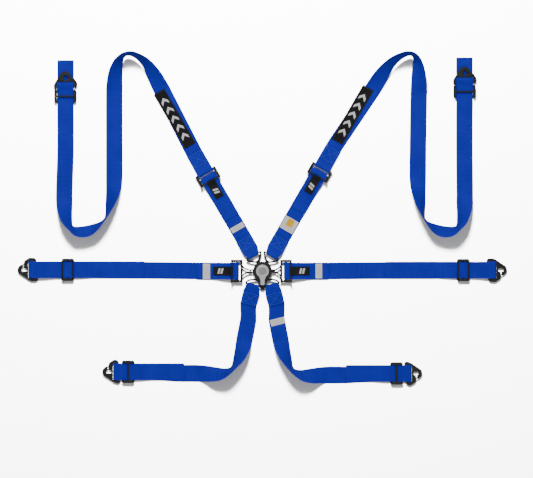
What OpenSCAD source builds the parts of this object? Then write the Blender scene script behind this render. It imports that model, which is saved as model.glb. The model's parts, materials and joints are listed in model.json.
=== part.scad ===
// Six-strap racing harness lying open: cam buckle, tongues, webbing, adjusters, slides and snap brackets.
// Origin on the floor under the buckle's centre. X across the lap straps, +Y towards the shoulders, +Z up.

/* [Webbing] */
// Width of every strap
web_w = 50; // [46:1:52]
// Thickness of the webbing
web_t = 1.6; // [1.2:0.1:1.8]

/* [Cam buckle] */
// Outside radius of the buckle's housing
housing_r = 28.5; // [27:0.5:32]
// Height of the housing's top above the floor
housing_top = 20; // [20:0.5:22]
// Radius of the release lever's disc
lever_r = 19.2; // [16:0.2:21]
// Distance from the centre to the lever's tip
lever_reach = 42; // [36:1:46]

/* [Hardware] */
// Thickness of the bracket plates
bracket_t = 3.2; // [2.5:0.1:3.4]
// Width of the eye in a bracket
eye_w = 9.6; // [8:0.2:11]
// Length of the eye in a bracket
eye_l = 17; // [14:0.5:19]
// Length of a pull tab
tab_l = 56; // [40:1:60]
// Width of a pull tab
tab_w = 26; // [20:1:30]

/* [Layout] */
// Angle of each shoulder strap from the lap line
shoulder_angle = 60; // [56:0.5:62]
// Distance from the buckle's centre to the left lap adjuster's bar
lap_left_bar = 77; // [74:1:82]
// Distance from the buckle's centre to the right lap adjuster's bar
lap_right_bar = 70; // [68:1:76]
// Distance from the buckle's centre to the left shoulder adjuster's bar
shoulder_left_bar = 326; // [315:1:330]
// Distance from the buckle's centre to the right shoulder adjuster's bar
shoulder_right_bar = 342; // [335:1:350]

/* [Hidden] */
$fn = 48;

half_w = web_w / 2;
web_mid = web_t / 2;
layer_gap = 0.2;
tail_mid = web_mid + web_t + layer_gap;

// Tongues
tongue_z = 9.5;
tongue_t = 3;
stub_w = 11;
stub_in = 11;
pin_ring = 14;
pin_r = 2.4;

// Adjusters: a floating bar in a frame, with a round lip that carries the tab
bar_r = 4.2;
bar_end_r = 1.5;
wrap_r = 4.8;
wrap_mid = wrap_r + web_mid;
lap_bar_z = tongue_z;
low_bar_z = wrap_r + web_t + 0.3;
lip_x = 15;
lip_up = 9.2;
lip_r = 2;
tab_t = 1.6;
rail_in = 27;
rail_out = 34;
bar_travel = 2.5;

// Brackets: a hook plate on a round rod inside the webbing's end loop
rod_r = 3.2;
rod_z = 5.3;
loop_mid = 3.6 + web_mid;
hung_rod_z = loop_mid + web_mid + 2;
arm_in = half_w + 0.7;
eye_x = 18;
gate_pivot = [10.5, 24];
gate_tip = [25, 9.5];
gate_t = 1.4;
gate_w = 4;
gate_pin_r = 1.8;

// Three-bar slides
slide_l = 38;
slide_w = 67;
slide_h = 11;
slide_lift = 3.3;

// End of each strap: rod place, direction, slide's distance behind the rod, tail's length,
// rod's height and length of the bracket's arms behind the rod
lap_end_left = [[-697, 4], 180, 113, 342, rod_z, 24];
lap_end_right = [[696, 3], 0, 94, 328, rod_z, 24];
shoulder_end_left = [[-591, 561], 90, 37, 72, hung_rod_z, 17];
shoulder_end_right = [[606, 575], 90, 37, 66, hung_rod_z, 17];
crotch_end_left = [[-443, -302], 180, 40, 208, rod_z, 17];
crotch_end_right = [[442, -307], 0, 40, 192, rod_z, 17];

function turn(p, a) = [p[0] * cos(a) - p[1] * sin(a), p[0] * sin(a) + p[1] * cos(a)];

// Points along an arc in the u-z plane
function arc(c, r, from, to, n) = [
    for (i = [0:n])
        let (a = from + (to - from) * i / n)
        [c[0] + r * cos(a), c[1] + r * sin(a)]
];

// A profile in the u-z plane becomes pairs of edge points at place o, direction a.
// A third value in a profile point is the web's half width there, where it gathers in.
function edges(profile, o, a) = [
    for (q = profile)
        let (h = len(q) > 2 ? q[2] : half_w, l = turn([q[0], h], a), r = turn([q[0], -h], a))
        [[o[0] + l[0], o[1] + l[1], q[1]], [o[0] + r[0], o[1] + r[1], q[1]]]
];

// A row of edge places seen from above; the raised edge gets the height that keeps the web's width.
// row: left x, left y, right x, right y, raised edge (1 left, -1 right), lift of the lower edge
function row_edges(rows) = [
    for (r = rows)
        let (
            d = norm([r[0] - r[2], r[1] - r[3]]),
            rise = d >= 0.98 * web_w ? 0 : sqrt(web_w * web_w - d * d),
            low = web_mid + r[5]
        )
        [[r[0], r[1], low + (r[4] > 0 ? rise : 0)], [r[2], r[3], low + (r[4] < 0 ? rise : 0)]]
];

function lerp(a, b, t) = a + (b - a) * t;

// Catmull-Rom points between stations 1 and 2
function smooth_between(p0, p1, p2, p3, t) =
    0.5 * (2 * p1 + (p2 - p0) * t + (2 * p0 - 5 * p1 + 4 * p2 - p3) * t * t
    + (3 * p1 - p0 - 3 * p2 + p3) * t * t * t);

function on_floor(p) = [p[0], p[1], max(p[2], web_mid)];

function smooth(s, steps) = [
    for (i = [0:len(s) - 2])
        for (k = [0:steps - 1])
            let (a = s[max(i - 1, 0)], b = s[i], c = s[i + 1], d = s[min(i + 2, len(s) - 1)], t = k / steps)
            [
                on_floor(smooth_between(a[0], b[0], c[0], d[0], t)),
                on_floor(smooth_between(a[1], b[1], c[1], d[1], t))
            ],
    s[len(s) - 1]
];

function unit(v) = v / norm(v);
function mid(s) = (s[0] + s[1]) / 2;

// Four corners of the web's section at each station
function sections(s) = [
    for (i = [0:len(s) - 1])
        let (
            along = mid(s[min(i + 1, len(s) - 1)]) - mid(s[max(i - 1, 0)]),
            n = unit(cross(along, s[i][0] - s[i][1])) * web_mid
        )
        each [s[i][0] + n, s[i][1] + n, s[i][1] - n, s[i][0] - n]
];

// The two wide faces split along the same diagonal, so that a twisted stretch keeps its thickness
module ribbon(s) {
    n = len(s);
    faces = [
        [0, 1, 2], [0, 2, 3],
        for (i = [0:n - 2])
            for (k = [0:3])
                let (a = 4 * i + k, b = 4 * i + (k + 1) % 4, c = b + 4, d = a + 4)
                each k == 2 ? [[a, d, b], [b, d, c]] : [[a, d, c], [a, c, b]],
        [4 * n - 4, 4 * n - 2, 4 * n - 3], [4 * n - 4, 4 * n - 1, 4 * n - 2]
    ];
    polyhedron(points = sections(s), faces = faces, convexity = 10);
}

// Two mid-surface layers that leave a bar's loop, from the upper layer round to the lower one
function wrap_profile(x, z, r) = arc([x, z], r, 90, 270, 10);

// How far the lifted flat reaches behind a slide, past the slide's whole travel
flat_reach = 36;

// Profile from the run, up through the slide, round the rod and back as a tail. u = 0 is the rod.
// The lift ends past the slide's travel where the rod is far enough away
function lift_end(slide_u) = -slide_u + min(40, slide_u - 18);
function end_profile(slide_u, tail_l) = [
    [-slide_u - flat_reach - 36, web_mid],
    [-slide_u - flat_reach, web_mid + slide_lift],
    [lift_end(slide_u), web_mid + slide_lift],
    [min(lift_end(slide_u) + 30, -6), rod_z - loop_mid],
    each arc([0, rod_z], loop_mid, -90, 90, 10),
    [min(lift_end(slide_u) + 30, -6), rod_z + loop_mid],
    [lift_end(slide_u), tail_mid + slide_lift],
    [-slide_u - flat_reach, tail_mid + slide_lift],
    [-slide_u - flat_reach - 36, tail_mid],
    [-tail_l, tail_mid]
];

// Shoulder ends: over the rod, back under it, round at the slide and out again as a tail below the bracket
function hung_profile(slide_u, tail_l) = [
    [-slide_u - flat_reach - 36, web_mid],
    [-slide_u - flat_reach, web_mid + slide_lift],
    [-slide_u + 6, web_mid + slide_lift],
    [-slide_u + 18, web_mid + slide_lift + 1],
    [-6, hung_rod_z + loop_mid],
    each arc([0, hung_rod_z], loop_mid, 90, -90, 10),
    each arc([-slide_u + 22, web_mid + 1], 1, 90, 270, 6),
    [tail_l, web_mid]
];

// ---- Cam buckle ----

module at_tongue(a) rotate([0, 0, a]) children();

guard_w = 9;
guard_reach = 58;

tongue_angles = [0, shoulder_angle, 180 - shoulder_angle, 180, 240, 300];

module base_plate() {
    color("dimgray") difference() {
        cylinder(r = housing_r - 0.5, h = 2.5);
        for (a = [30:60:330]) rotate([0, 0, a]) translate([housing_r - 4.5, 0, -1]) cylinder(r = 1.6, h = 5);
    }
}

module housing() {
    color([0.08, 0.08, 0.09]) difference() {
        union() {
            translate([0, 0, 2.5]) cylinder(r = housing_r, h = housing_top - 4.5);
            translate([-guard_w / 2, -guard_reach, 2.5]) cube([guard_w, 34, 4]);
        }
        translate([0, 0, 1]) cylinder(r = 20, h = housing_top);
        for (a = tongue_angles)
            at_tongue(a) translate([10, -stub_w / 2 - 0.4, tongue_z - tongue_t / 2 - 0.4])
                cube([30, stub_w + 0.8, tongue_t + 0.8]);
        for (a = [30:60:330]) rotate([0, 0, a]) translate([housing_r - 4.5, 0, 0]) cylinder(r = 1.6, h = 30);
    }
}

module housing_cover() {
    color([0.07, 0.07, 0.08]) difference() {
        union() {
            translate([0, 0, housing_top - 2]) cylinder(r = housing_r - 0.6, h = 2);
            translate([0, 0, housing_top - 2]) linear_extrude(2) polygon([
                [-13, -20], [13, -20], [8.6, -42], [-8.6, -42]
            ]);
        }
        translate([0, 0, housing_top - 3]) cylinder(r = 3.06, h = 5);
        for (a = [30:60:330]) rotate([0, 0, a]) translate([housing_r - 4.5, 0, 0]) cylinder(r = 1.6, h = 30);
    }
}

module housing_rivets() {
    color("silver") for (a = [30:60:330])
        rotate([0, 0, a]) translate([housing_r - 4.5, 0, 0.4]) {
            cylinder(r = 1.55, h = housing_top - 0.4);
            translate([0, 0, housing_top - 0.4]) cylinder(r = 2.4, h = 0.2);
        }
}

module spindle() {
    color("lightgray") {
        translate([0, 0, 2.5]) cylinder(r = 3, h = housing_top + 3.4 - 2.5);
        translate([0, 0, 2.5]) cylinder(r = 5.5, h = 1.5);
    }
}

module cam_plate() {
    color("silver") {
        translate([0, 0, 11.5]) difference() {
            cylinder(r = 10.9, h = 1.9);
            translate([0, 0, -1]) cylinder(r = 3, h = 4);
        }
        for (a = [30:60:330])
            rotate([0, 0, a]) translate([9.4, 0, 13.4]) cylinder(r = 1.1, h = 0.8);
    }
}

module release_lever() {
    color([0.72, 0.73, 0.75]) difference() {
        translate([0, 0, housing_top + 0.3]) {
            cylinder(r = lever_r, h = 3.2);
            linear_extrude(3.2) polygon([
                [-11.5, -14], [11.5, -14], [6.2, -27], [6.2, -lever_reach + 3],
                [4, -lever_reach], [-4, -lever_reach], [-6.2, -lever_reach + 3], [-6.2, -27]
            ]);
            difference() {
                translate([0, 0, 3.2]) cylinder(r = 13.5, h = 1);
                translate([0, 0, 3]) cylinder(r = 11.6, h = 2);
            }
        }
        translate([0, 0, housing_top]) cylinder(r = 3.02, h = 3.4);
    }
}

module lever_cap() {
    color("gray") translate([0, 0, housing_top + 3.5]) {
        cylinder(r = 11.4, h = 0.8);
        translate([0, 0, 0.8]) difference() {
            cylinder(r = 7.4, h = 0.5);
            translate([0, 0, -1]) cylinder(r = 5.2, h = 3);
        }
    }
}

// Flat spiral that turns the lever back
module lever_spring() {
    turns = 3;
    steps = 60;
    color("silver") translate([0, 0, housing_top - 3.6]) linear_extrude(1.2) polygon([
        for (i = [0:steps]) let (a = 360 * turns * i / steps, r = 3.5 + 4.5 * i / steps) r * [cos(a), sin(a)],
        for (i = [steps:-1:0])
            let (a = 360 * turns * i / steps, r = 4.1 + 4.5 * i / steps)
            r * [cos(a), sin(a)]
    ]);
}

module latch_pins() {
    color("silver") for (a = tongue_angles)
        at_tongue(a) translate([pin_ring, 0, 0]) {
            translate([0, 0, 8.3]) cylinder(r = pin_r, h = 5.3);
            translate([0, 0, 13.6]) cylinder(r = 3.4, h = 1);
        }
}

module pin_springs() {
    color("lightgray") for (a = tongue_angles)
        at_tongue(a) translate([pin_ring, 0, 14.7])
            for (k = [0:2])
                translate([0, 0, 0.35 + k])
                    rotate_extrude($fn = 24) translate([2.2, 0]) circle(r = 0.35, $fn = 16);
}

// ---- Tongues ----

module stub(reach) {
    difference() {
        translate([stub_in, -stub_w / 2, tongue_z - tongue_t / 2]) cube([reach - stub_in, stub_w, tongue_t]);
        translate([0, 0, tongue_z - tongue_t]) {
            translate([pin_ring, 0, 0]) cylinder(r = pin_r + 0.4, h = 2 * tongue_t);
            translate([stub_in - 5, -pin_r - 0.4, 0])
                cube([pin_ring - stub_in + 5, 2 * pin_r + 0.8, 2 * tongue_t]);
        }
    }
}

function bow(p, q, r, t) = lerp(lerp(p, q, t), lerp(q, r, t), t);

// A curved arm of constant width along a bow through three points
module arm(p, q, r, w) {
    n = 12;
    pts = [for (i = [0:n]) bow(p, q, r, i / n)];
    nrm = [
        for (i = [0:n])
            let (d = unit(pts[min(i + 1, n)] - pts[max(i - 1, 0)]))
            [-d[1], d[0]] * w / 2
    ];
    linear_extrude(tongue_t) polygon([
        for (i = [0:n]) pts[i] + nrm[i],
        for (i = [n:-1:0]) pts[i] - nrm[i]
    ]);
}

// Loop that the sewn webbing hangs on: round bar at distance d, curved arms back to the stub
module loop_tongue(d) {
    stub(36);
    translate([0, 0, tongue_z - tongue_t / 2])
        for (s = [-1, 1]) arm([33, s * 3.2], [42, s * 19], [d, s * loop_bar_half], loop_arm_w);
    translate([d, 0, tongue_z])
        rotate([90, 0, 0]) cylinder(r = loop_bar_r, h = 2 * loop_bar_half, center = true);
}

loop_bar_r = 2.4;
loop_bar_half = 25;
loop_arm_w = 5.6;
gathered = 18.3;
shoulder_loop_d = 54;
crotch_bar = [28, -42.5];
crotch_turn = 14;
crotch_bar_half = 23.4;

module shoulder_tongue() {
    color([0.09, 0.09, 0.1]) loop_tongue(shoulder_loop_d);
}

// The crotch tongue's stub enters at 60 degrees and its bar is turned to face the strap
module crotch_tongue_right() {
    bar_turn = -90 + crotch_turn;
    outer_end = crotch_bar + turn([0, crotch_bar_half], bar_turn);
    inner_end = crotch_bar + turn([0, -crotch_bar_half], bar_turn);
    color([0.09, 0.09, 0.1]) {
        at_tongue(-60) stub(34);
        translate([0, 0, tongue_z - tongue_t / 2]) {
            arm([19.5, -26.5], [43, -22.5], outer_end, loop_arm_w);
            arm([13.5, -29.5], [7, -33], inner_end, loop_arm_w);
        }
        translate([crotch_bar[0], crotch_bar[1], tongue_z]) rotate([0, 0, bar_turn]) rotate([90, 0, 0])
            cylinder(r = loop_bar_r, h = 2 * crotch_bar_half, center = true);
    }
}

// ---- Adjusters ----

// Side rails with slots for the floating bar's ends and a round lip between raised ears
module adjuster_rails(z) {
    for (s = [-1, 1])
        difference() {
            translate([-12, s > 0 ? rail_in : -rail_out, z - 3]) union() {
                cube([30, rail_out - rail_in, 6]);
                translate([24, 0, 0]) cube([6, rail_out - rail_in, lip_up + 5.2]);
            }
            for (dx = [-0.1, bar_travel + 0.1])
                translate([dx, s * (rail_in + 1.7), z]) rotate([90, 0, 0])
                    cylinder(r = bar_end_r + 0.1, h = 4, center = true);
            translate([-0.1, s > 0 ? rail_in - 0.3 : -rail_in - 3.7, z - bar_end_r - 0.1])
                cube([bar_travel + 0.2, 4, 2 * bar_end_r + 0.2]);
        }
    translate([lip_x, 0, z + lip_up])
        rotate([90, 0, 0]) cylinder(r = lip_r, h = 2 * rail_in + 2, center = true);
}

// Floating bar with shallow ribs; x = 0 is its rest place
module wrap_bar(z) {
    color([0.12, 0.12, 0.13]) translate([0, 0, z]) rotate([90, 0, 0]) {
        cylinder(r = bar_r - 0.25, h = 2 * rail_in - 0.8, center = true);
        for (k = [-12:12])
            translate([0, 0, 2 * k]) cylinder(r = bar_r, h = 1.1, center = true);
        cylinder(r = bar_end_r, h = 2 * rail_in + 6, center = true);
    }
}

module lap_frame(bar_x, fixed) {
    color([0.09, 0.09, 0.1]) {
        difference() {
            stub(38);
            if (fixed) translate([31.5, 0, 0]) cylinder(r = 1.7, h = housing_top);
        }
        translate([bar_x, 0, 0]) adjuster_rails(lap_bar_z);
        translate([bar_x - 17, -rail_out, tongue_z - 3]) cube([6, 2 * rail_out, 6]);
        translate([0, 0, tongue_z - tongue_t / 2]) {
            for (s = [-1, 1]) arm([36, s * 2.8], [bar_x - 25, s * 4], [bar_x - 15, s * 16], 5);
        }
    }
}

module shoulder_adjuster() {
    color([0.09, 0.09, 0.1]) {
        adjuster_rails(low_bar_z);
        translate([-15.5, 0, low_bar_z])
            rotate([90, 0, 0]) cylinder(r = 2.8, h = 2 * rail_in + 2, center = true);
        for (s = [-1, 1]) translate([-19, s * (rail_in + 3.5) - 3.5, low_bar_z - 3]) cube([8, 7, 6]);
    }
}

// Pull tab: an eye round the lip and a flap that slopes down over the tail
module tab(z) {
    axis_z = z + lip_up;
    flap_end = 5.2;
    color([0.06, 0.06, 0.07])
    translate([0, tab_w / 2, 0]) rotate([90, 0, 0]) linear_extrude(tab_w) difference() {
        union() {
            translate([lip_x, axis_z]) circle(r = lip_r + 0.3 + tab_t);
            polygon([
                [lip_x, axis_z - lip_r - 0.3], [lip_x, axis_z - lip_r - 0.3 - tab_t],
                [lip_x + tab_l, flap_end], [lip_x + tab_l, flap_end + tab_t],
                [lip_x + 6, axis_z - 1.2]
            ]);
        }
        translate([lip_x, axis_z]) circle(r = lip_r + 0.3);
    }
}

// ---- Webbing ----

// Tail down to the adjuster's bar, round it and out again as the lower layer
function adjuster_profile(x, z, tail_end) = [
    [tail_end, tail_mid],
    [x + 76, tail_mid],
    [x + lip_x, z + 4.1],
    [x + 5, z + wrap_mid],
    each wrap_profile(x, z, wrap_mid),
    [x + 5, z - wrap_mid],
    [x + 60, web_mid]
];

module lap_web(bar_x, tail_end, end) {
    reach = norm(end[0]);
    a = end[1];
    color([0.06, 0.2, 0.68]) ribbon(concat(
        edges(adjuster_profile(bar_x, lap_bar_z, tail_end), [0, 0], a),
        edges(end_profile(end[2], end[3]), end[0], a)
    ));
}

// Short shoulder strap: sewn end on top, round the tongue's bar, under the adjuster,
// round the adjuster's bar, tail on top
function short_profile(bar, tail_start) = [
    [shoulder_loop_d + 62, tail_mid],
    [shoulder_loop_d + 18, tongue_z + 1, half_w],
    each [
        for (p = arc([shoulder_loop_d, tongue_z], loop_bar_r + 0.3 + web_mid, 90, 270, 8))
            [p[0], p[1], gathered]
    ],
    [shoulder_loop_d + 18, tongue_z - 4.5, half_w],
    [shoulder_loop_d + 62, web_mid],
    [bar - 60, web_mid],
    [bar - 5, low_bar_z - wrap_mid],
    each arc([bar, low_bar_z], wrap_mid, -90, 90, 10),
    [bar - 5, low_bar_z + wrap_mid],
    [bar - lip_x, low_bar_z + 4.1],
    [bar - 76, tail_mid],
    [tail_start, tail_mid]
];

module shoulder_short_web(bar, tail_start, a) {
    color([0.06, 0.2, 0.68]) ribbon(edges(short_profile(bar, tail_start), [0, 0], a));
}

// Long shoulder strap: sewn loop on the adjuster's fixed bar, then out along the diagonal
function sewn_profile(bar) = [
    [bar + 85, web_mid + web_t + layer_gap],
    [bar + 28, web_mid + web_t + layer_gap + 3],
    [bar + 19, low_bar_z + 3.1 + web_mid],
    each arc([bar + 15.5, low_bar_z], 3.1 + web_mid, 90, 270, 8),
    [bar + 50, web_mid],
    [bar + 90, web_mid]
];

// Seen from above, left strap. Last two columns: lift of the lower edge, extra x on the right strap.
arch_rows = [
    [-324, 532, -280, 556, -1, 0, 28],
    [-337, 561, -301, 591, -1, 3, 31],
    [-349, 590, -323, 618, -1, 6, 34],
    [-362, 617, -350, 640, -1, 8, 37],
    [-382, 638, -385, 654, -1, 9, 40],
    [-403, 646, -409, 652, -1, 9, 40],
    [-415, 638, -428, 642, -1, 8, 36],
    [-419, 618, -445, 625, -1, 6, 31],
    [-420, 590, -460, 595, -1, 3, 27],
    [-420, 555, -468, 556, -1, 0, 25],
    [-420, 520, -470, 520, -1, 0, 24],
    [-420, 400, -470, 400, -1, 0, 22],
    [-420, 283, -470, 283, 1, 0, 21],
    [-425, 240, -470, 240, 1, 0, 20],
    [-437, 205, -471, 203, 1, 1, 18],
    [-453, 176, -471, 177, 1, 2, 16],
    [-470, 150, -475, 158, 1, 3, 13],
    [-492, 122, -490, 147, 1, 4, 11],
    [-513, 106, -512, 140, 1, 4, 10],
    [-537, 101, -536, 135, 1, 4, 9],
    [-560, 106, -556, 133, 1, 4, 10],
    [-577, 123, -569, 136, 1, 3, 12],
    [-597, 144, -571, 153, 1, 2, 12],
    [-610, 172, -571, 177, 1, 1, 12],
    [-617, 200, -570, 203, 1, 0, 12],
    [-620, 235, -570, 235, 1, 0, 12],
    [-616, 357, -566, 357, 1, 0, 15]
];

function arch_edges(right) = row_edges([
    for (r = arch_rows)
        let (dx = right ? -r[6] : 0)
        [r[0] + dx, r[1], r[2] + dx, r[3], r[4], r[5]]
]);

module shoulder_long_web(bar, a, end, right) {
    o = right ? [-end[0][0], end[0][1]] : end[0];
    color([0.06, 0.2, 0.68]) ribbon(concat(
        edges(sewn_profile(bar), [0, 0], a),
        smooth(arch_edges(right), 2),
        edges(hung_profile(end[2], end[3]), o, 90)
    ));
}

// Right crotch strap, seen from above: bend from the leg into the lower run
bend_rows = [
    [66, -138, 18, -150, -1, 0],
    [78, -199, 30, -212, -1, 0],
    [83, -232, 40, -240, -1, 1],
    [88, -262, 57, -268, -1, 2],
    [91, -284, 77, -292, -1, 3],
    [97, -294, 94, -309, -1, 3],
    [116, -297, 118, -327, -1, 2],
    [142, -293, 148, -335, -1, 1],
    [190, -287, 190, -337, -1, 0],
    [250, -287, 250, -337, -1, 0]
];

crotch_profile = [
    [62, tail_mid],
    [18, tongue_z + 1, half_w],
    each [for (p = arc([0, tongue_z], loop_bar_r + 0.3 + web_mid, 90, 270, 8)) [p[0], p[1], gathered]],
    [18, tongue_z - 4.5, half_w],
    [62, web_mid]
];

module crotch_web(end, rise) {
    rows = [for (r = bend_rows) let (f = r[0] > 90 ? rise : 0) [r[0], r[1] + f, r[2], r[3] + f, r[4], r[5]]];
    o = [abs(end[0][0]), end[0][1]];
    color([0.06, 0.2, 0.68]) ribbon(concat(
        edges(crotch_profile, crotch_bar, -90 + crotch_turn),
        smooth(row_edges(rows), 2),
        edges(end_profile(end[2], end[3]), o, 0)
    ));
}

// ---- Slides, brackets and gates ----

module rounded(l, w, r) {
    square([l, w - 2 * r], center = true);
    square([l - 2 * r, w], center = true);
    for (x = [-1, 1], y = [-1, 1]) translate([x * (l / 2 - r), y * (w / 2 - r)]) circle(r = r);
}

// Bars at over pass over the webbing and those at under pass below it
module slide(over, under) {
    color([0.09, 0.09, 0.1]) {
        difference() {
            translate([0, 0, 0.2]) linear_extrude(slide_h) rounded(slide_l, slide_w, 6);
            translate([-slide_l / 2 - 1, -arm_in, -1]) cube([slide_l + 2, 2 * arm_in, slide_h + 5]);
        }
        for (x = over)
            translate([x, 0, slide_h - 1.3]) rotate([90, 0, 0]) cylinder(r = 2.5, h = 54, center = true);
        for (x = under) translate([x - 3, -27, 0.3]) cube([6, 54, 2.6]);
    }
}

module bracket(arm_l) {
    color([0.1, 0.1, 0.11]) {
        difference() {
            translate([0, 0, rod_z - bracket_t / 2]) linear_extrude(bracket_t) difference() {
                polygon([
                    [5 - arm_l, arm_in], [5 - arm_l, 31], [12 - arm_l, 36], [3, 36],
                    [17, 27], [19.6, 18], [21.4, 14.5],
                    [24, 16.2], [28, 15], [34.5, 9], [37.5, 3], [37.5, -3], [34, -11], [3, -32],
                    [-5, -35], [6 - arm_l, -35], [-arm_l, -31],
                    [-arm_l, -arm_in], [5.8, -arm_in], [5.8, arm_in]
                ]);
                translate([eye_x - (eye_l - eye_w) / 2, 0]) circle(r = eye_w / 2);
                translate([eye_x + (eye_l - eye_w) / 2, 0]) circle(r = eye_w / 2);
                translate([eye_x, 0]) square([eye_l - eye_w, eye_w], center = true);
                polygon([[17.4, 3], [20.2, 3], [22.6, 17], [19.9, 18]]);
            }
            translate([gate_pivot[0], gate_pivot[1], 0]) cylinder(r = gate_pin_r + 0.06, h = 20);
        }
        translate([0, 0, rod_z]) rotate([90, 0, 0]) cylinder(r = rod_r, h = 2 * arm_in + 2, center = true);
    }
}

// Sprung gate across the hook's mouth, on a pin through the plate
module gate() {
    top = rod_z + bracket_t / 2 + 0.2;
    d = gate_tip - gate_pivot;
    color([0.2, 0.2, 0.21]) {
        translate([gate_pivot[0], gate_pivot[1], top])
        rotate([0, 0, atan2(d[1], d[0])]) linear_extrude(gate_t) {
            circle(r = 4);
            translate([0, -gate_w / 2]) square([norm(d), gate_w]);
            translate([norm(d), 0]) circle(r = gate_w / 2);
        }
        translate([gate_pivot[0], gate_pivot[1], rod_z - bracket_t / 2 - 0.4])
            cylinder(r = gate_pin_r, h = bracket_t + 1.4);
    }
}

module at_end(end) translate([end[0][0], end[0][1], 0]) rotate([0, 0, end[1]]) children();
module lap_slide_at(end) at_end(end) translate([-end[2], 0, 0]) slide([-16, 16], [0]);
module slide_at(end) at_end(end) translate([-end[2], 0, 0]) slide([0], [-16, 16]);
module bracket_at(end) at_end(end) translate([0, 0, end[4] - rod_z]) mirror([0, 1, 0]) bracket(end[5]);
module gate_at(end) at_end(end) translate([0, 0, end[4] - rod_z]) mirror([0, 1, 0]) gate();

// ---- Patches and labels ----

module plate_on(p, a, l, w, z, t) {
    translate([p[0], p[1], z])
        rotate([0, 0, a])
            translate([-l / 2, -w / 2, 0]) cube([l, w, t]);
}

patch_z = web_t + 0.02;
label_z = tail_mid + web_mid + 0.02;

module patch(p, a) {
    color([0.07, 0.07, 0.08]) plate_on(p, a, 188, 38, patch_z, 0.7);
}

module label(p, a, l, w, z) {
    color("white") plate_on(p, a, l, w, z, 0.3);
}

left_a = 180 - shoulder_angle;
function polar(r, a) = r * [cos(a), sin(a)];

base_plate();
housing();
housing_cover();
housing_rivets();
spindle();
cam_plate();
release_lever();
lever_cap();
lever_spring();
latch_pins();
pin_springs();
at_tongue(180) lap_frame(lap_left_bar, true);  // lap_frame_left
lap_frame(lap_right_bar, false);  // lap_frame_right
at_tongue(left_a) shoulder_tongue();  // shoulder_tongue_left
at_tongue(shoulder_angle) shoulder_tongue();  // shoulder_tongue_right
mirror([1, 0, 0]) crotch_tongue_right();  // crotch_tongue_left
crotch_tongue_right();
lap_web(lap_left_bar, 198, lap_end_left);  // lap_web_left
lap_web(lap_right_bar, 199, lap_end_right);  // lap_web_right
shoulder_short_web(shoulder_left_bar, 184, left_a);  // shoulder_short_web_left
shoulder_short_web(shoulder_right_bar, 210, shoulder_angle);  // shoulder_short_web_right
shoulder_long_web(shoulder_left_bar, left_a, shoulder_end_left, false);  // shoulder_long_web_left
mirror([1, 0, 0]) shoulder_long_web(shoulder_right_bar, left_a, shoulder_end_right, true);  // shoulder_long_web_right
mirror([1, 0, 0]) crotch_web(crotch_end_left, 5);  // crotch_web_left
crotch_web(crotch_end_right, 0);  // crotch_web_right
at_tongue(left_a) translate([shoulder_left_bar, 0, 0]) rotate([0, 0, 180]) shoulder_adjuster();  // shoulder_adjuster_left
at_tongue(shoulder_angle) translate([shoulder_right_bar, 0, 0]) rotate([0, 0, 180]) shoulder_adjuster();  // shoulder_adjuster_right
at_tongue(180) translate([lap_left_bar, 0, 0]) wrap_bar(lap_bar_z);  // lap_bar_left
translate([lap_right_bar, 0, 0]) wrap_bar(lap_bar_z);  // lap_bar_right
at_tongue(left_a) translate([shoulder_left_bar, 0, 0]) rotate([0, 0, 180]) wrap_bar(low_bar_z);  // shoulder_bar_left
at_tongue(shoulder_angle) translate([shoulder_right_bar, 0, 0]) rotate([0, 0, 180]) wrap_bar(low_bar_z);  // shoulder_bar_right
at_tongue(180) translate([lap_left_bar, 0, 0]) tab(lap_bar_z);  // lap_tab_left
translate([lap_right_bar, 0, 0]) tab(lap_bar_z);  // lap_tab_right
at_tongue(left_a) translate([shoulder_left_bar, 0, 0]) rotate([0, 0, 180]) tab(low_bar_z);  // shoulder_tab_left
at_tongue(shoulder_angle) translate([shoulder_right_bar, 0, 0]) rotate([0, 0, 180]) tab(low_bar_z);  // shoulder_tab_right
lap_slide_at(lap_end_left);  // slide_lap_left
lap_slide_at(lap_end_right);  // slide_lap_right
slide_at(shoulder_end_left);  // slide_shoulder_left
slide_at(shoulder_end_right);  // slide_shoulder_right
slide_at(crotch_end_left);  // slide_crotch_left
slide_at(crotch_end_right);  // slide_crotch_right
bracket_at(lap_end_left);  // bracket_lap_left
bracket_at(lap_end_right);  // bracket_lap_right
bracket_at(shoulder_end_left);  // bracket_shoulder_left
bracket_at(shoulder_end_right);  // bracket_shoulder_right
bracket_at(crotch_end_left);  // bracket_crotch_left
bracket_at(crotch_end_right);  // bracket_crotch_right
gate_at(lap_end_left);  // gate_lap_left
gate_at(lap_end_right);  // gate_lap_right
gate_at(shoulder_end_left);  // gate_shoulder_left
gate_at(shoulder_end_right);  // gate_shoulder_right
gate_at(crotch_end_left);  // gate_crotch_left
gate_at(crotch_end_right);  // gate_crotch_right
patch(polar(527, left_a), left_a);  // patch_left
patch(polar(541, shoulder_angle), shoulder_angle);  // patch_right
label([-168, -1], 0, 22, 46, label_z);  // label_lap_left
label([169, 0], 0, 20, 44, label_z);  // label_lap_right
label(polar(150, left_a), left_a, 17, 42, label_z);  // label_shoulder_left
label(polar(160, shoulder_angle), shoulder_angle, 41, 44, label_z);  // label_shoulder_right
label([46, -152], -76, 20, 45, patch_z);  // label_crotch_right
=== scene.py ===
"""Looks of a racing harness laid out open: webbing, tabs, patches, labels and coated hardware."""
import json
import math

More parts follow.
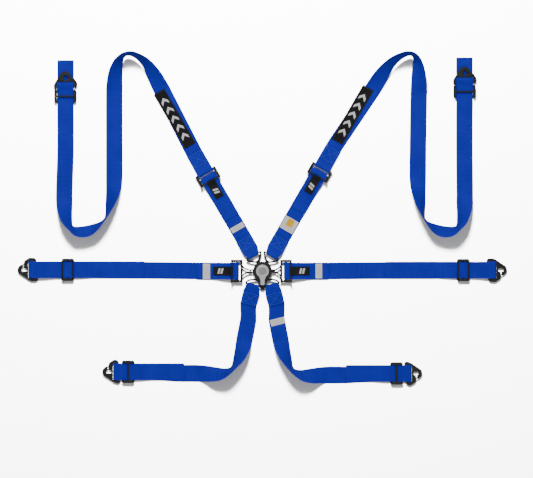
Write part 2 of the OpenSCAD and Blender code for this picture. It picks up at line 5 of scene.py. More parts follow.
import bmesh
import bpy
import numpy as np
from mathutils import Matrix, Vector


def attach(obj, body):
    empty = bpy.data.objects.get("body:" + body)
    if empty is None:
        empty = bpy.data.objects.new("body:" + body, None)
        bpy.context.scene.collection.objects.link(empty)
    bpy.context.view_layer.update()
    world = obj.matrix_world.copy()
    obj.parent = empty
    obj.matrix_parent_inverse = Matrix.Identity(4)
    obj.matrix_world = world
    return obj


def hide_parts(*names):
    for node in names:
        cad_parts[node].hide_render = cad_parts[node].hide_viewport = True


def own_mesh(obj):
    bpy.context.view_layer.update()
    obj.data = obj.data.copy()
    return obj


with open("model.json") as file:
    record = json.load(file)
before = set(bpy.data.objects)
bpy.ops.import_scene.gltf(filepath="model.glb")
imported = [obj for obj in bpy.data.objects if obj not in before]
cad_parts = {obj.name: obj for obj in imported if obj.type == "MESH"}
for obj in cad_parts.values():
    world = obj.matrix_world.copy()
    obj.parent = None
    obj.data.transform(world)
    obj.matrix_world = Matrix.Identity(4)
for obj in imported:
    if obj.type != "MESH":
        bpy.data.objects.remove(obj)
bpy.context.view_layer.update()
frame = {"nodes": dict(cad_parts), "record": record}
MM = 0.001
BODY_OF = {n: b for b, names in frame["record"]["behaviour"]["bodies"].items() for n in names}

# ---- Sizes, in millimetres, as the CAD part has them ----
HALF_W = 25.0
WEB_T = 1.6
WEB_MID = WEB_T / 2
LAYER_GAP = 0.2
TAIL_MID = WEB_MID + WEB_T + LAYER_GAP
TONGUE_Z = 9.5
LOOP_R = 2.4 + 0.3 + WEB_MID
GATHERED = 18.3
LOOP_D = 54.0
WRAP_MID = 4.8 + WEB_MID
LAP_BAR_Z = 9.5
LOW_BAR_Z = 6.7
LIP_X, LIP_UP, LIP_R = 15.0, 9.2, 2.0
ROD_Z = 5.3
ROD_WRAP = 3.6 + WEB_MID
HUNG_ROD_Z = ROD_WRAP + WEB_MID + 2
SLIDE_LIFT = 3.3
FLAT_REACH = 36  # how far the lifted flat reaches behind a slide
FLAT_FALL = 36  # length over which it comes down to the run again
TAB_L, TAB_HALF, TAB_T, TAB_END_Z = 56.0, 13.0, 0.75, 6.0
PATCH_L, PATCH_W = 188.0, 37.0
SHOULDER_A = 60.0
LEFT_A = 180 - SHOULDER_A
BARS = {"lap_left": 77, "lap_right": 70, "shoulder_left": 326, "shoulder_right": 342}
CROTCH_BAR = (28.0, -42.5)
CROTCH_TURN = 14.0
ENDS = {  # rod place, direction, slide's distance behind the rod, tail's length
    "lap_left": ((-697, 4), 180, 113, 342),
    "lap_right": ((696, 3), 0, 94, 328),
    "shoulder_left": ((-591, 561), 90, 37, 72),
    "shoulder_right": ((606, 575), 90, 37, 66),
    "crotch_left": ((-443, -302), 180, 40, 208),
    "crotch_right": ((442, -307), 0, 40, 192),
}
ARCH_ROWS = [  # left x, y, right x, y, raised edge, lift, extra x on the right strap
    [-324, 532, -280, 556, -1, 0, 28], [-337, 561, -301, 591, -1, 3, 31], [-349, 590, -323, 618, -1, 6, 34],
    [-362, 617, -350, 640, -1, 8, 37], [-382, 638, -385, 654, -1, 9, 40], [-403, 646, -409, 652, -1, 9, 40],
    [-415, 638, -428, 642, -1, 8, 36], [-419, 618, -445, 625, -1, 6, 31], [-420, 590, -460, 595, -1, 3, 27],
    [-420, 555, -468, 556, -1, 0, 25], [-420, 520, -470, 520, -1, 0, 24], [-420, 400, -470, 400, -1, 0, 22],
    [-420, 283, -470, 283, 1, 0, 21], [-425, 240, -470, 240, 1, 0, 20], [-437, 205, -471, 203, 1, 1, 18],
    [-453, 176, -471, 177, 1, 2, 16], [-470, 150, -475, 158, 1, 3, 13], [-492, 122, -490, 147, 1, 4, 11],
    [-513, 106, -512, 140, 1, 4, 10], [-537, 101, -536, 135, 1, 4, 9], [-560, 106, -556, 133, 1, 4, 10],
    [-577, 123, -569, 136, 1, 3, 12], [-597, 144, -571, 153, 1, 2, 12], [-610, 172, -571, 177, 1, 1, 12],
    [-617, 200, -570, 203, 1, 0, 12], [-620, 235, -570, 235, 1, 0, 12], [-616, 357, -566, 357, 1, 0, 15],
]
BEND_ROWS = [
    [66, -138, 18, -150, -1, 0], [78, -199, 30, -212, -1, 0], [83, -232, 40, -240, -1, 1],
    [88, -262, 57, -268, -1, 2], [91, -284, 77, -292, -1, 3], [97, -294, 94, -309, -1, 3],
    [116, -297, 118, -327, -1, 2], [142, -293, 148, -335, -1, 1], [190, -287, 190, -337, -1, 0],
    [250, -287, 250, -337, -1, 0],
]
# How freely a station may move when the strap is relaxed: not at all round a bar, a little in a bend
HELD, BENT, FREE = 0.0, 0.25, 1.0


def turn(p, a):
    c, s = math.cos(math.radians(a)), math.sin(math.radians(a))
    return p[0] * c - p[1] * s, p[0] * s + p[1] * c


def arc(c, r, start, end, n, half=HALF_W):
    steps = [start + (end - start) * i / n for i in range(n + 1)]
    return [(c[0] + r * math.cos(math.radians(a)), c[1] + r * math.sin(math.radians(a)), half, HELD)
            for a in steps]


# ---- Straps: stations of left edge, right edge and freedom ----

def edges(profile, o, a):
    out = []
    for q in profile:
        half, free = (q[2], q[3]) if len(q) > 2 else (HALF_W, FREE)
        left, right = turn((q[0], half), a), turn((q[0], -half), a)
        out.append(((o[0] + left[0], o[1] + left[1], q[1]), (o[0] + right[0], o[1] + right[1], q[1]), free))
    return out


def row_edges(rows):
    out = []
    for r in rows:
        d = math.hypot(r[0] - r[2], r[1] - r[3])
        rise = 0 if d >= 0.98 * 2 * HALF_W else math.sqrt(4 * HALF_W ** 2 - d * d)
        low = WEB_MID + r[5]
        left = (r[0], r[1], low + (rise if r[4] > 0 else 0))
        right = (r[2], r[3], low + (rise if r[4] < 0 else 0))
        out.append((left, right, BENT))
    return out


def catmull(p0, p1, p2, p3, t):
    p0, p1, p2, p3 = (np.array(p, float) for p in (p0, p1, p2, p3))
    v = 0.5 * (2 * p1 + (p2 - p0) * t + (2 * p0 - 5 * p1 + 4 * p2 - p3) * t ** 2
               + (3 * p1 - p0 - 3 * p2 + p3) * t ** 3)
    v[2] = max(v[2], WEB_MID)
    return tuple(v)


def smooth(s, steps=8):
    out = []
    for i in range(len(s) - 1):
        a, b, c, d = s[max(i - 1, 0)], s[i], s[i + 1], s[min(i + 2, len(s) - 1)]
        for k in range(steps):
            t = k / steps
            out.append((catmull(a[0], b[0], c[0], d[0], t), catmull(a[1], b[1], c[1], d[1], t), BENT))
    return out + [s[-1]]


def end_profile(su, tail):
    lift_end = -su + min(40, su - 15)
    shoulder = min(lift_end + 30, -6)
    flat = -su - FLAT_REACH
    return ([(flat - FLAT_FALL, WEB_MID), (flat, WEB_MID + SLIDE_LIFT), (lift_end, WEB_MID + SLIDE_LIFT),
             (shoulder, ROD_Z - ROD_WRAP)]
            + arc((0, ROD_Z), ROD_WRAP, -90, 90, 14)
            + [(shoulder, ROD_Z + ROD_WRAP), (lift_end, TAIL_MID + SLIDE_LIFT), (flat, TAIL_MID + SLIDE_LIFT),
               (flat - FLAT_FALL, TAIL_MID), (-tail, TAIL_MID)])


def hung_profile(su, tail):
    return ([(-su - FLAT_REACH - FLAT_FALL, WEB_MID), (-su - FLAT_REACH, WEB_MID + SLIDE_LIFT),
             (-su + 6, WEB_MID + SLIDE_LIFT),
             (-su + 18, WEB_MID + SLIDE_LIFT + 1), (-6, HUNG_ROD_Z + ROD_WRAP)]
            + arc((0, HUNG_ROD_Z), ROD_WRAP, 90, -90, 14) + arc((-su + 22, WEB_MID + 1), 1, 90, 270, 8)
            + [(tail, WEB_MID)])


def adjuster_profile(x, z, tail_end):
    return ([(tail_end, TAIL_MID), (x + 76, TAIL_MID), (x + LIP_X, z + 4.1), (x + 5, z + WRAP_MID)]
            + arc((x, z), WRAP_MID, 90, 270, 16) + [(x + 5, z - WRAP_MID), (x + 60, WEB_MID)])


def tongue_loop(x):
    return ([(x + 18, TONGUE_Z + 1, HALF_W, BENT)] + arc((x, TONGUE_Z), LOOP_R, 90, 270, 12, GATHERED)
            + [(x + 18, TONGUE_Z - 4.5, HALF_W, BENT)])


def short_profile(bar, tail_start):
    return ([(LOOP_D + 62, TAIL_MID)] + tongue_loop(LOOP_D)
            + [(LOOP_D + 62, WEB_MID), (bar - 60, WEB_MID), (bar - 5, LOW_BAR_Z - WRAP_MID)]
            + arc((bar, LOW_BAR_Z), WRAP_MID, -90, 90, 16)
            + [(bar - 5, LOW_BAR_Z + WRAP_MID), (bar - LIP_X, LOW_BAR_Z + 4.1), (bar - 76, TAIL_MID),
               (tail_start, TAIL_MID)])


def sewn_profile(bar):
    return ([(bar + 85, TAIL_MID), (bar + 28, TAIL_MID + 3), (bar + 19, LOW_BAR_Z + 3.1 + WEB_MID)]
            + arc((bar + 15.5, LOW_BAR_Z), 3.1 + WEB_MID, 90, 270, 12)
            + [(bar + 50, WEB_MID), (bar + 90, WEB_MID)])


def mirrored(stations):
    return [((-r[0], r[1], r[2]), (-l[0], l[1], l[2]), f) for l, r, f in stations]


def lap_strap(side, tail_end):
    o, a, su, tail = ENDS["lap_" + side]
    return (edges(adjuster_profile(BARS["lap_" + side], LAP_BAR_Z, tail_end), (0, 0), a)
            + edges(end_profile(su, tail), o, a))


def long_strap(side):
    (x, y), a, su, tail = ENDS["shoulder_" + side]
    right = side == "right"
    rows = [[r[0] - r[6] * right, r[1], r[2] - r[6] * right, r[3], r[4], r[5]] for r in ARCH_ROWS]
    s = (edges(sewn_profile(BARS["shoulder_" + side]), (0, 0), LEFT_A) + smooth(row_edges(rows))
         + edges(hung_profile(su, tail), (-abs(x), y), 90))
    return mirrored(s) if right else s


def crotch_strap(side):
    (x, y), a, su, tail = ENDS["crotch_" + side]
    rise = 5 if side == "left" else 0
    rows = [[r[0], r[1] + rise * (r[0] > 90), r[2], r[3] + rise * (r[0] > 90), r[4], r[5]] for r in BEND_ROWS]
    profile = [(62, TAIL_MID)] + tongue_loop(0) + [(62, WEB_MID)]
    s = (edges(profile, CROTCH_BAR, -90 + CROTCH_TURN) + smooth(row_edges(rows))
         + edges(end_profile(su, tail), (abs(x), y), 0))
    return mirrored(s) if side == "left" else s


# ---- Strap mesh ----

def resample(stations, step):
    left = np.array([s[0] for s in stations], float)
    right = np.array([s[1] for s in stations], float)
    free = np.array([s[2] for s in stations], float)
    gap = np.linalg.norm(np.diff((left + right) / 2, axis=0), axis=1)
    at = np.concatenate([[0], np.cumsum(gap)])
    n = max(8, int(at[-1] / step))
    t = np.linspace(0, at[-1], n)
    pick = lambda v: np.stack([np.interp(t, at, v[:, k]) for k in range(v.shape[1])], axis=1)
    near = np.interp(t, at, free)
    return t, pick(left), pick(right), near


def relax(points, free, rounds):
    for _ in range(rounds):
        mean = (points[:-2] + points[2:]) / 2
        points[1:-1] += (mean - points[1:-1]) * 0.5 * free[1:-1, None]
    return points


def section(half, thick):
    """Closed outline across a strap: (distance from the middle, height), with rounded sides."""
    side = [(half - 0.6 * thick, thick / 2), (half - 0.2 * thick, 0.36 * thick), (half, 0),
            (half - 0.2 * thick, -0.36 * thick), (half - 0.6 * thick, -thick / 2)]
    across = [0.86, 0.45, 0, -0.45, -0.86]
    top = [(half * v, thick / 2) for v in across]
    return (top + [(-x, z) for x, z in side] + [(half * -v, -thick / 2) for v in across]
            + [(x, z) for x, z in side[::-1]])


def strap_mesh(name, stations, thick=WEB_T, step=1.5, rounds=36):
    """A woven strip through the stations, with its length and width coordinates kept for the weave."""
    t, left, right, free = resample(stations, step)
    left, right = relax(left, free, rounds), relax(right, free, rounds)
    mid = (left + right) / 2
    across = left - right
    half = np.linalg.norm(across, axis=1) / 2
    across /= (2 * half)[:, None]
    along = np.gradient(mid, axis=0)
    normal = np.cross(along, across)
    normal /= np.linalg.norm(normal, axis=1)[:, None]
    along /= np.linalg.norm(along, axis=1)[:, None]
    ring = [section(h, thick) for h in half]
    m = len(ring[0])
    co, weave = [], []
    for i in range(len(t)):
        for x, z in ring[i]:
            co.append((mid[i] + across[i] * x + normal[i] * z) * MM)
            weave.append((t[i] * MM, x / half[i] * HALF_W * MM if half[i] > 20 else x * MM, 0.0))
    faces = [(i * m + k, i * m + (k + 1) % m, (i + 1) * m + (k + 1) % m, (i + 1) * m + k)
             for i in range(len(t) - 1) for k in range(m)]
    faces.append(tuple(range(m))[::-1])
    faces.append(tuple((len(t) - 1) * m + k for k in range(m)))
    return mesh_object(name, co, faces, weave), float(t[-1]) * MM


def mesh_object(name, co, faces, weave=None):
    me = bpy.data.meshes.new(name)
    me.from_pydata([tuple(c) for c in co], [], faces)
    if weave is not None:
        layer = me.attributes.new("weave", "FLOAT_VECTOR", "POINT")
        layer.data.foreach_set("vector", np.array(weave, dtype=np.float32).ravel())
    bm = bmesh.new()
    bm.from_mesh(me)
    bmesh.ops.recalc_face_normals(bm, faces=bm.faces)
    bm.to_mesh(me)
    bm.free()
    me.polygons.foreach_set("use_smooth", [True] * len(me.polygons))
    o = bpy.data.objects.new(name, me)
    bpy.context.scene.collection.objects.link(o)
    return o


# ---- Materials ----

class Nodes:
    """Short hand for building a shader."""

    def __init__(self, name):
        self.mat = bpy.data.materials.new(name)
        self.mat.use_nodes = True
        self.tree = self.mat.node_tree
        self.shader = self.tree.nodes["Principled BSDF"]

    def add(self, kind, operation=None, **values):
        n = self.tree.nodes.new("ShaderNode" + kind)
        if operation:
            n.operation = operation
        for key, value in values.items():
            self.put(n, int(key[1:]) if key[0] == "i" and key[1:].isdigit() else key.replace("_", " "), value)
        return n

    def put(self, node, key, value):
        socket = node.inputs[key]
        if isinstance(value, bpy.types.NodeSocket):
            self.tree.links.new(value, socket)
        elif isinstance(value, bpy.types.Node):
            self.tree.links.new(value.outputs[0], socket)
        else:
            socket.default_value = value

    def math(self, operation, a, b=0.0, c=0.0):
        n = self.add("Math", operation, i0=a, i1=b, i2=c)
        return n.outputs[0]

    def mix(self, factor, a, b):
        n = self.tree.nodes.new("ShaderNodeMix")
        n.data_type = "RGBA"
        self.put(n, 0, factor)
        self.put(n, 6, a)
        self.put(n, 7, b)
        return n.outputs[2]

    def bump(self, height, strength, distance):
        return self.add("Bump", Strength=strength, Distance=distance, Height=height).outputs[0]

    def noise(self, scale, detail=2.0, vector=None):
        if vector is None:
            vector = self.add("TexCoord").outputs["Object"]
        n = self.add("TexNoise", Scale=scale, Detail=detail, Vector=vector)
        return n.outputs[0]

    def finish(self, **values):
        for key, value in values.items():
            self.put(self.shader, key.replace("_", " "), value)
        return self.mat


def rgb(r, g, b):
    return (r, g, b, 1.0)


def woven(name, light, dark, edge, band_from=0.0212, pitch=0.0021, rows=0.0014, rough=0.75):
    """Twill webbing: slanted ribs across its face, a plain denser selvedge, soft random changes of tone, and
    painted shade in the grooves between ribs and between the selvedge's cords.
    """
    n = Nodes(name)
    place = n.add("Attribute")
    place.attribute_name = "weave"
    split = n.add("SeparateXYZ", Vector=place.outputs["Vector"])
    u, v = split.outputs[0], split.outputs[1]
    side = n.math("ABSOLUTE", v)
    band = n.math("GREATER_THAN", side, band_from)
    column = n.math("FLOOR", n.math("DIVIDE", v, rows))
    phase = n.math("MULTIPLY", column, math.pi / 2)
    angle = n.math("ADD", n.math("MULTIPLY", u, 2 * math.pi / pitch), phase)
    rib = n.math("MULTIPLY_ADD", n.math("SINE", angle), 0.5, 0.5)
    warp = n.math("ABSOLUTE", n.math("SINE", n.math("MULTIPLY", v, math.pi / rows)))
    face = n.math("MULTIPLY", n.math("MULTIPLY_ADD", rib, 0.75, 0.25), n.math("MULTIPLY_ADD", warp, 0.6, 0.4))
    cord = n.math("ABSOLUTE", n.math("SINE", n.math("MULTIPLY", v, math.pi / (rows * 0.8))))
    height = n.mix(band, face, cord)
    # Painted shade: the colour darkens in the weave's grooves, where the ribs are low
    painted_groove_shade = n.math("MULTIPLY_ADD", face, 0.55, 0.45)
    cloud = n.noise(16.0, 3.0)
    streak = n.noise(1.0, 2.0, n.add("VectorMath", "MULTIPLY", i0=place.outputs["Vector"],
                                     i1=(150.0, 12.0, 1.0)).outputs[0])
    tone = n.math("ADD", n.math("MULTIPLY", cloud, 0.6), n.math("MULTIPLY", streak, 0.4))
    body = n.mix(n.math("MULTIPLY", tone, painted_groove_shade), dark, light)
    # Painted shade on the selvedge too: its colour darkens between the cords, where they are low
    colour = n.mix(band, body, n.mix(n.math("MULTIPLY_ADD", cord, 0.4, 0.3), dark, edge))
    return n.finish(Base_Color=colour, Roughness=rough, Specular_IOR_Level=0.12,
                    Normal=n.bump(height, 0.6, 0.0004))


def coated(name, base, rough, grain=900.0, strength=0.12):
    """Coated or moulded black: a fine grain, broken sheen and slightly paler, rubbed patches."""
    n = Nodes(name)
    fine = n.noise(grain, 3.0)
    broad = n.noise(55.0, 4.0)
    paler = tuple(min(1.0, c * 1.9) for c in base[:3]) + (1.0,)
    return n.finish(Base_Color=n.mix(n.math("MULTIPLY", broad, 0.6), base, paler),
                    Roughness=n.math("MULTIPLY_ADD", broad, 0.22, rough - 0.11), Specular_IOR_Level=0.35,
                    Normal=n.bump(fine, strength, 0.0004))


def brushed(name, base, rough, scale=(1200.0, 40.0, 40.0)):
    """Metal with drawn streaks."""
    n = Nodes(name)
    at = n.add("VectorMath", "MULTIPLY", i0=n.add("TexCoord").outputs["Object"], i1=scale).outputs[0]
    streak = n.noise(1.0, 4.0, at)
    broad = n.noise(40.0, 3.0)
    darker = tuple(c * 0.72 for c in base[:3]) + (1.0,)
    return n.finish(Base_Color=n.mix(n.math("MULTIPLY", streak, 0.8), darker, base), Metallic=1.0,
                    Roughness=n.math("ADD", rough - 0.1, n.math("MULTIPLY", broad, 0.25)),
                    Normal=n.bump(streak, 0.08, 0.0003))


def printed(name, half_l, half_w, yellow):
    """White woven label with plain grey rules, and a plain yellow square on one of them."""
    n = Nodes(name)
    place = n.add("Attribute")
    place.attribute_name = "weave"
    split = n.add("SeparateXYZ", Vector=place.outputs["Vector"])
    u, v = split.outputs[0], split.outputs[1]
    rule = n.math("GREATER_THAN", n.math("SINE", n.math("MULTIPLY", u, 2 * math.pi / 0.0036)), 0.35)
    inside = n.math("MULTIPLY", n.math("LESS_THAN", n.math("ABSOLUTE", v), half_w * 0.78),
                    n.math("LESS_THAN", n.math("ABSOLUTE", n.math("SUBTRACT", u, half_l)), half_l * 0.78))
    broken = n.math("GREATER_THAN", n.noise(1.0, 1.0, n.add(
        "VectorMath", "MULTIPLY", i0=place.outputs["Vector"], i1=(280.0, 420.0, 1.0)).outputs[0]), 0.46)
    ink = n.math("MULTIPLY", n.math("MULTIPLY", rule, inside), n.math("MULTIPLY", broken, 0.6))
    weave = n.math("MULTIPLY", n.math("SINE", n.math("MULTIPLY", u, 9000.0)),
                   n.math("SINE", n.math("MULTIPLY", v, 9000.0)))
    colour = n.mix(ink, rgb(0.8, 0.8, 0.78), rgb(0.22, 0.23, 0.26))
    if yellow:
        box = n.math("MULTIPLY", n.math("LESS_THAN", n.math("ABSOLUTE", v), 0.0115),
                     n.math("MULTIPLY", n.math("GREATER_THAN", u, yellow[0]),
                            n.math("LESS_THAN", u, yellow[1])))
        colour = n.mix(box, colour, n.mix(n.noise(160.0), rgb(0.80, 0.40, 0.0), rgb(0.92, 0.50, 0.003)))
    return n.finish(Base_Color=colour, Roughness=0.6, Normal=n.bump(weave, 0.25, 0.0002))


def thread(name, colour):
    n = Nodes(name)
    twist = n.noise(2600.0, 2.0)
    darker = tuple(c * 0.6 for c in colour[:3]) + (1.0,)
    return n.finish(Base_Color=n.mix(twist, darker, colour), Roughness=0.5, Sheen_Weight=0.3,
                    Normal=n.bump(twist, 0.4, 0.0003))


WEBBING = woven("webbing_blue", rgb(0.016, 0.036, 0.72), rgb(0.008, 0.012, 0.26), rgb(0.010, 0.022, 0.78))
TAB = woven("tab_black", rgb(0.03, 0.03, 0.032), rgb(0.006, 0.006, 0.007), rgb(0.035, 0.035, 0.037),
            band_from=0.0112, pitch=0.0018, rows=0.0012)
PATCH = woven("patch_black", rgb(0.024, 0.024, 0.026), rgb(0.005, 0.005, 0.006), rgb(0.016, 0.016, 0.018),
              band_from=0.0174, pitch=0.0011, rows=0.0009)
MARK = thread("mark_white", rgb(0.82, 0.82, 0.82))
STITCH = thread("stitch_blue", rgb(0.03, 0.13, 0.72))
BLACK_STITCH = thread("stitch_black", rgb(0.04, 0.04, 0.042))
COATED = coated("coated_black", rgb(0.010, 0.010, 0.011), 0.38)
MOULDED = coated("moulded_black", rgb(0.012, 0.012, 0.013), 0.42, grain=1400.0, strength=0.2)
LEVER = brushed("lever_metal", rgb(0.78, 0.79, 0.8), 0.42, scale=(60.0, 900.0, 60.0))
CAP = brushed("cap_metal", rgb(0.5, 0.51, 0.53), 0.38)
STEEL = brushed("steel", rgb(0.6, 0.6, 0.6), 0.34)


def dress(piece, material, body, slot, *nodes):
    """Gives a piece its material and its body, and hides the CAD nodes it stands for. The slot argument is
    not used.
    """
    piece.data.materials.clear()
    piece.data.materials.append(material)
    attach(piece, body)
    if nodes:
        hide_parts(*nodes)
    return piece


# ---- Hardware: the CAD shapes with rounded, coated edges ----

def rounded_copy(name, node, voxel, rounds, keep):
    me = frame["nodes"][node].data.copy()
    o = bpy.data.objects.new(name, me)
    bpy.context.scene.collection.objects.link(o)
    weld = o.modifiers.new("weld", "WELD")
    weld.merge_threshold = 1e-6
    remesh = o.modifiers.new("remesh", "REMESH")
    remesh.mode = "VOXEL"
    remesh.voxel_size = voxel * MM
    soft = o.modifiers.new("soft", "SMOOTH")
    soft.factor = 0.5
    soft.iterations = rounds
    fewer = o.modifiers.new("fewer", "DECIMATE")
    fewer.ratio = keep
    dg = bpy.context.evaluated_depsgraph_get()
    final = bpy.data.meshes.new_from_object(o.evaluated_get(dg))
    o.modifiers.clear()
    o.data = final
    final.polygons.foreach_set("use_smooth", [True] * len(final.polygons))
    return o


# Voxel in millimetres, rounds of smoothing, share of faces kept, material, slot
HARDWARE = {
    "housing": (0.5, 4, 0.3, MOULDED, "housing"), "housing_rivets": (0.25, 2, 0.4, COATED, "hardware"),
    "housing_cover": (0.4, 4, 0.3, MOULDED, "housing"),
    "release_lever": (0.35, 4, 0.3, LEVER, "lever"), "base_plate": (0.45, 3, 0.3, STEEL, "steel"),
}
for stem in ("lap_frame", "shoulder_tongue", "crotch_tongue", "shoulder_adjuster", "slide_lap",
             "slide_shoulder", "slide_crotch", "bracket_lap", "bracket_shoulder", "bracket_crotch"):
    for side in ("left", "right"):
        HARDWARE[f"{stem}_{side}"] = (0.45, 4, 0.3, COATED, "hardware")
for node, (voxel, rounds, keep, material, slot) in HARDWARE.items():
    dress(rounded_copy(node + "_look", node, voxel, rounds, keep), material, BODY_OF[node], slot, node)
for node, material in {"spindle": STEEL, "cam_plate": STEEL, "lever_spring": STEEL,
                       "latch_pins": STEEL, "lever_cap": CAP}.items():
    frame["nodes"][node].data.materials.clear()
    frame["nodes"][node].data.materials.append(material)
for node, o in frame["nodes"].items():
    if node.startswith("gate_") or "_bar_" in node:
        o.data.materials.clear()
        o.data.materials.append(COATED)
# The latch springs flatten between the rising pins and the cover. They have less room there than coils need
springs = bpy.data.objects.new("pin_springs_look", frame["nodes"]["pin_springs"].data.copy())
bpy.context.scene.collection.objects.link(springs)
dress(springs, STEEL, BODY_OF["pin_springs"], "steel", "pin_springs")
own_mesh(springs)

# ---- Webbing ----
STRAPS = {
    "lap_web_left": lap_strap("left", 198), "lap_web_right": lap_strap("right", 199),
    "shoulder_short_web_left": edges(short_profile(BARS["shoulder_left"], 184), (0, 0), LEFT_A),
    "shoulder_short_web_right": edges(short_profile(BARS["shoulder_right"], 210), (0, 0), SHOULDER_A),
    "shoulder_long_web_left": long_strap("left"), "shoulder_long_web_right": long_strap("right"),
    "crotch_web_left": crotch_strap("left"), "crotch_web_right": crotch_strap("right"),
}
for node, stations in STRAPS.items():
    strap, length = strap_mesh(node + "_look", stations)
    dress(strap, WEBBING, BODY_OF[node], "webbing", node)


# ---- Stitching ----

def stitch_rows(name, runs, z_of, body, material, slot):
    """Short raised stitches along straight runs seen from above. A run is (x0, y0, x1, y1) in millimetres."""
    co, faces = [], []
    pitch, long, wide, high = 3.4, 2.5, 0.75, 0.32
    for x0, y0, x1, y1 in runs:
        span = math.hypot(x1 - x0, y1 - y0)
        count = max(1, int(span / pitch))
        ux, uy = (x1 - x0) / span, (y1 - y0) / span
        for i in range(count):
            c = (i + 0.5) * span / count
            base = len(co)
            for f, w, h in ((-0.5, 0.35, 0.15), (-0.3, 1, 1), (0.3, 1, 1), (0.5, 0.35, 0.15)):
                px, py = x0 + ux * (c + f * long), y0 + uy * (c + f * long)
                z = z_of(px, py)
                for side, up in ((-0.5, 0), (-0.3, 0.8), (0, 1), (0.3, 0.8), (0.5, 0)):
                    co.append(((px - uy * side * wide * w) * MM, (py + ux * side * wide * w) * MM,
                               (z - 0.05 + up * high * h) * MM))
            for k in range(3):
                for j in range(4):
                    a = base + 5 * k + j
                    faces.append((a, a + 1, a + 6, a + 5))
            faces.append(tuple(base + j for j in range(5)))
            faces.append(tuple(base + 15 + j for j in (4, 3, 2, 1, 0)))
            faces.append((base, base + 5, base + 10, base + 15, base + 19, base + 14, base + 9, base + 4))
    o = mesh_object(name, co, faces)
    return dress(o, material, body, slot)


def placed_runs(runs, o, a):
    out = []
    for u0, v0, u1, v1 in runs:
        p, q = turn((u0, v0), a), turn((u1, v1), a)
        out.append((o[0] + p[0], o[1] + p[1], o[0] + q[0], o[1] + q[1]))
    return out


def box_cross(u0, u1, half):
    """A sewn box with its two diagonals."""
    return [(u0, half, u1, half), (u0, -half, u1, -half), (u0, -half, u0, half), (u1, -half, u1, half),
            (u0, -half, u1, half), (u0, half, u1, -half)]


def height_over(points):
    """Height of a profile's upper layer at a distance along it, plus half the webbing."""
    us, zs = zip(*sorted(points))
    return lambda u: float(np.interp(u, us, zs)) + WEB_MID


def along(o, a):
    ux, uy = turn((1, 0), a)
    return lambda x, y: (x - o[0]) * ux + (y - o[1]) * uy


for side, a in (("left", LEFT_A), ("right", SHOULDER_A)):
    top = height_over([(LOOP_D + 18, TONGUE_Z + 1), (LOOP_D + 62, TAIL_MID)])
    u_at = along((0, 0), a)
    stitch_rows("stitch_short_" + side, placed_runs(box_cross(LOOP_D + 28, LOOP_D + 58, 20), (0, 0), a),
                lambda x, y: top(u_at(x, y)) + 0.1, "shoulder_" + side, STITCH, "webbing")
    bar = BARS["shoulder_" + side]
    high = height_over([(bar + 28, TAIL_MID + 3), (bar + 85, TAIL_MID)])
    stitch_rows("stitch_long_" + side, placed_runs(box_cross(bar + 42, bar + 81, 20), (0, 0), a),
                lambda x, y: high(u_at(x, y)) + 0.1, "shoulder_" + side, STITCH, "webbing")
for side, s in (("left", -1), ("right", 1)):
    o, a = (s * CROTCH_BAR[0], CROTCH_BAR[1]), -90 + s * CROTCH_TURN
    top = height_over([(18, TONGUE_Z + 1), (62, TAIL_MID)])
    u_at = along(o, a)
    stitch_rows("stitch_crotch_" + side, placed_runs(box_cross(26, 58, 20), o, a),
                lambda x, y: top(u_at(x, y)) + 0.1, "crotch_" + side, STITCH, "webbing")


# ---- Tabs, patches and labels ----

def tab_profile(z):
    axis_z, end_z = z + LIP_UP, TAB_END_Z
    low = axis_z - LIP_R - 0.3 - 0.8
    flat = [(LIP_X + TAB_L, end_z + 0.4), (LIP_X + 12, end_z + 0.4 + (low - end_z) * (1 - 12 / TAB_L))]
    back = [(LIP_X + 8, end_z - 0.4 + (low - end_z) * (1 - 8 / TAB_L)), (LIP_X + TAB_L, end_z - 0.4)]
    return ([(u, h, TAB_HALF, FREE) for u, h in flat]
            + [(u, h, TAB_HALF, HELD) for u, h, *_ in arc((LIP_X, axis_z), LIP_R + 0.3 + 0.45, 75, 280, 14)]
            + [(u, h, TAB_HALF, FREE) for u, h in back])


def flat_marks(name, shapes, place, body, slot):
    """Thin raised shapes: each is a list of (u, v), laid by place(u, v, up)."""
    co, faces = [], []
    for shape in shapes:
        base, n = len(co), len(shape)
        for up in (-0.05, 0.16):
            co += [place(u, v, up) for u, v in shape]
        faces.append(tuple(base + n + i for i in range(n)))
        faces.append(tuple(base + i for i in range(n))[::-1])
        faces += [(base + i, base + (i + 1) % n, base + n + (i + 1) % n, base + n + i) for i in range(n)]
    o = mesh_object(name, co, faces)
    o.data.polygons.foreach_set("use_smooth", [False] * len(o.data.polygons))
    return dress(o, MARK, body, slot)


TAB_DIRECTIONS = {"lap_left": 180, "lap_right": 0, "shoulder_left": LEFT_A, "shoulder_right": SHOULDER_A}
for key, a in TAB_DIRECTIONS.items():
    low = key.startswith("shoulder")
    z = LOW_BAR_Z if low else LAP_BAR_Z
    o = turn((BARS[key], 0), a)
    face = a + 180 if low else a
    node = key.replace("_", "_tab_")
    tab, _ = strap_mesh(node + "_look", edges(tab_profile(z), o, face), thick=TAB_T, step=0.8, rounds=6)
    dress(tab, TAB, "tab_" + key, "tab", node)
    slope = math.atan2((z + LIP_UP - LIP_R - 1.1) - TAB_END_Z, TAB_L)

    def on_tab(u, v, up):
        d = LIP_X + TAB_L - u
        p = turn((LIP_X + TAB_L - d * math.cos(slope), v), face)
        return (o[0] + p[0]) * MM, (o[1] + p[1]) * MM, (TAB_END_Z + 0.78 + d * math.sin(slope) + up) * MM

    bars = [[(LIP_X + 24 + k, -8), (LIP_X + 30 + k, -8), (LIP_X + 34 + k, 8), (LIP_X + 28 + k, 8)]
            for k in (0, 9)]
    flat_marks(node + "_mark", bars, on_tab, "tab_" + key, "tab")

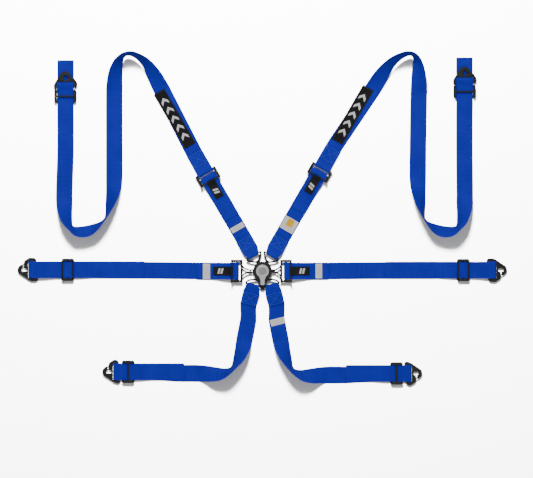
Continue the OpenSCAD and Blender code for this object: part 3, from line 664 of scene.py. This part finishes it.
for side, dist, a in (("left", 527, LEFT_A), ("right", 541, SHOULDER_A)):
    z = WEB_T + 0.4
    ends = [(dist + k * PATCH_L / 2, z, PATCH_W / 2, FREE) for k in (-1, 1)]
    patch, _ = strap_mesh("patch_%s_look" % side, edges(ends, (0, 0), a),
                          thick=0.7, step=3, rounds=0)
    dress(patch, PATCH, "shoulder_" + side, "patch", "patch_" + side)

    def on_patch(u, v, up):
        p = turn((dist + u, v), a)
        return (p[0] * MM, p[1] * MM, (z + 0.35 + up) * MM)

    marks = [[(u - 10, -11), (u, -11), (u + 12, 0), (u, 11), (u - 10, 11), (u + 2, 0)]
             for u in (-60, -30, 0, 30, 60)]
    flat_marks("patch_%s_mark" % side, marks, on_patch, "shoulder_" + side, "patch")
    runs = [(dist - 91, 16.6, dist + 91, 16.6), (dist - 91, -16.6, dist + 91, -16.6),
            (dist - 91, -16.6, dist - 91, 16.6), (dist + 91, -16.6, dist + 91, 16.6)]
    stitch_rows("stitch_patch_" + side, placed_runs(runs, (0, 0), a), lambda x, y: z + 0.36,
                "shoulder_" + side, BLACK_STITCH, "patch")

LABEL_Z = TAIL_MID + WEB_MID + 0.17
LABELS = {  # centre, direction, length, width, height, yellow square along it
    "label_lap_left": ((-168, -1), 0, 22, 46, LABEL_Z, None),
    "label_lap_right": ((169, 0), 0, 20, 44, LABEL_Z, None),
    "label_shoulder_left": (turn((150, 0), LEFT_A), LEFT_A, 17, 42, LABEL_Z, None),
    "label_shoulder_right": (turn((160, 0), SHOULDER_A), SHOULDER_A, 41, 44, LABEL_Z, (0.015, 0.038)),
    "label_crotch_right": ((46, -152), -76, 20, 45, WEB_T + 0.17, None),
}
for node, (o, a, length, width, z, square) in LABELS.items():
    half = width / 2
    label, _ = strap_mesh(node + "_look",
                          edges([(-length / 2, z, half, FREE), (length / 2, z, half, FREE)], o, a),
                          thick=0.3, step=2, rounds=0)
    dress(label, printed(node + "_print", length / 2 * MM, half * MM, square), BODY_OF[node], "label", node)

# ---- Floor, light and camera ----
VIEW = (0.012, 0.096, 6.0)
floor_me = bpy.data.meshes.new("floor")
floor_me.from_pydata([(-8, -8, 0), (8, -8, 0), (8, 8, 0), (-8, 8, 0)], [], [(0, 1, 2, 3)])
floor = bpy.data.objects.new("floor", floor_me)
bpy.context.scene.collection.objects.link(floor)
floor.location.z = -0.0002
ground = Nodes("floor_white")
floor_me.materials.append(ground.finish(Base_Color=rgb(0.86, 0.86, 0.86), Roughness=0.9,
                                        Specular_IOR_Level=0.0))

world = bpy.data.worlds.new("studio")
bpy.context.scene.world = world
world.use_nodes = True
world.node_tree.nodes["Background"].inputs[0].default_value = rgb(1.0, 1.0, 1.0)
world.node_tree.nodes["Background"].inputs[1].default_value = 0.42


def soft_light(name, place, target, size, power):
    data = bpy.data.lights.new(name, "AREA")
    data.shape = "DISK"
    data.size = size
    data.energy = power
    o = bpy.data.objects.new(name, data)
    bpy.context.scene.collection.objects.link(o)
    o.location = place
    o.rotation_euler = (Vector(target) - Vector(place)).to_track_quat("-Z", "Y").to_euler()
    return o


MIDDLE = (0.0, 0.1, 0.0)
soft_light("key", (-0.3, 2.6, 3.0), MIDDLE, 1.1, 90.0)
soft_light("fill", (0.6, -2.2, 4.2), MIDDLE, 3.0, 30.0)
# A stronger light for the floor alone keeps the ground white, with the harness's shadows on it
sweep = soft_light("sweep", (-0.3, 3.4, 3.4), MIDDLE, 1.0, 3400.0)
lit = bpy.data.collections.new("lit_by_sweep")
lit.objects.link(floor)
sweep.light_linking.receiver_collection = lit
# The bright floor throws no light back, which would wash out the standing bends of the webbing
floor.visible_diffuse = False
floor.visible_glossy = False

lens = bpy.data.cameras.new("camera")
lens.lens = 135.0
lens.sensor_width = 36.0
lens.clip_end = 50.0
camera = bpy.data.objects.new("camera", lens)
bpy.context.scene.collection.objects.link(camera)
camera.location = VIEW
bpy.context.scene.camera = camera
